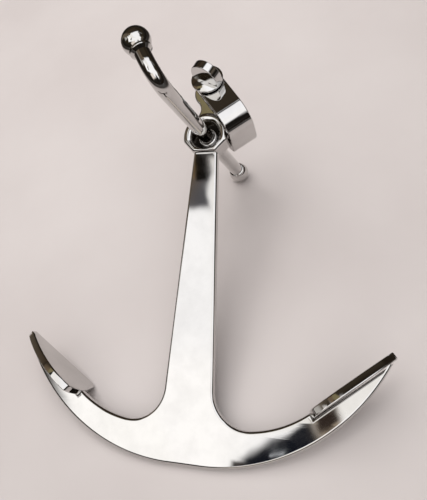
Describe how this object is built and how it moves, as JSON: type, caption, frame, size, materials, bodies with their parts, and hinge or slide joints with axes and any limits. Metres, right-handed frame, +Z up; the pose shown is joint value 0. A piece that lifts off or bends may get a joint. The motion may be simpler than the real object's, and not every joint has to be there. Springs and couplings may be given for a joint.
{
  "type": "anchor",
  "caption": "Polished steel fisherman-pattern anchor with crown, flat arms, palms, a bent ball-ended stock and a screw-pin shackle, lying on the ground.",
  "frame": {"origin": "centre of the footprint at the level of the ground it lies on", "axes": "+Z up, +Y from the crown toward the shackle end seen from above, +X along the arms"},
  "size_m": [0.6132, 0.5986, 0.4239],
  "materials": {
    "body_steel": "mirror polished",
    "palm_steel": "polished",
    "stock_steel": "mirror polished",
    "shackle_steel": "mirror polished",
    "pin_steel": "mirror polished"
  },
  "bodies": {
    "anchor": {"anchor_body": "body_steel", "palm_left": "palm_steel", "palm_right": "palm_steel", "stock": "stock_steel"},
    "shackle": {"shackle": "shackle_steel"},
    "pin": {"shackle_pin": "pin_steel"}
  },
  "joints": [
    {"name": "shackle_swing", "type": "hinge", "parent": "anchor", "child": "shackle", "pos_m": [0.0021, 0.26905, 0.20598], "axis": [0.101, -0.169, 0.9804], "range_deg": [0, 281]},
    {"name": "pin_turn", "type": "hinge", "parent": "shackle", "child": "pin", "pos_m": [0.0021, 0.26905, 0.20598], "axis": [0.101, -0.169, 0.9804], "range_deg": [0, 360]}
  ]
}
